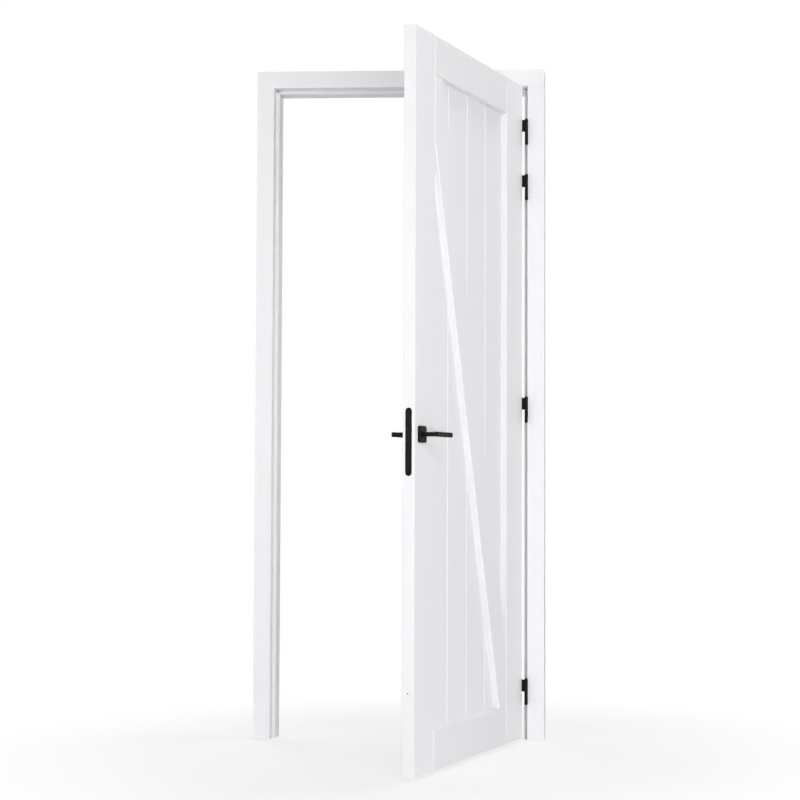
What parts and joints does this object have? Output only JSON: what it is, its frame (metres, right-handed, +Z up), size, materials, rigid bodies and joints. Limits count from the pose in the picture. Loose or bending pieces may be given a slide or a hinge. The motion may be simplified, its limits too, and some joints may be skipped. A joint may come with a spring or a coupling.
{
  "type": "interior door",
  "caption": "Boarded and braced interior door leaf on lift-off hinges in a rebated timber frame, with square lever handles.",
  "frame": {"origin": "outer side face of the hinge jamb, in the middle of the frame's depth, at floor level", "axes": "+Z up, +X out of the hinge jamb's side into the wall, -Y the side that the leaf opens towards"},
  "size_m": [1.033, 0.9806, 2.39],
  "materials": {
    "frame_paint": "satin white paint",
    "leaf_paint": "satin white paint",
    "hinge_black": "satin black powder coat",
    "handle_black": "matt black powder coat",
    "bright_steel": "zinc plated"
  },
  "bodies": {
    "frame": {"head": "frame_paint", "lock_jamb": "frame_paint", "hinge_jamb": "frame_paint", "frame_hinge_1": "hinge_black", "frame_hinge_2": "hinge_black", "frame_hinge_3": "hinge_black", "frame_hinge_4": "hinge_black", "hinge_pin_1": "bright_steel", "hinge_pin_2": "bright_steel", "hinge_pin_3": "bright_steel", "hinge_pin_4": "bright_steel"},
    "leaf": {"lock_stile": "leaf_paint", "hinge_stile": "leaf_paint", "top_rail": "leaf_paint", "bottom_rail": "leaf_paint", "brace": "leaf_paint", "board_1": "leaf_paint", "board_2": "leaf_paint", "board_3": "leaf_paint", "board_4": "leaf_paint", "leaf_hinge_1": "hinge_black", "leaf_hinge_2": "hinge_black", "leaf_hinge_3": "hinge_black", "leaf_hinge_4": "hinge_black", "forend_plate": "handle_black", "latch_bolt": "handle_black", "rose_front": "handle_black", "rose_back": "handle_black"},
    "handle": {"lever_front": "handle_black", "lever_back": "handle_black", "spindle": "bright_steel"}
  },
  "joints": [
    {"name": "leaf_swing", "type": "hinge", "parent": "frame", "child": "leaf", "pos_m": [-0.0625, -0.072, 1.1685], "axis": [0, 0, 1], "range_deg": [-71.5, 98.5]},
    {"name": "handle_turn", "type": "hinge", "parent": "leaf", "child": "handle", "pos_m": [-0.36651, -0.87029, 1.056], "axis": [-0.9483, 0.3173, 0], "range_deg": [0, 45], "stiffness_Nm_per_rad": 1.2, "springref_deg": -40.11}
  ]
}
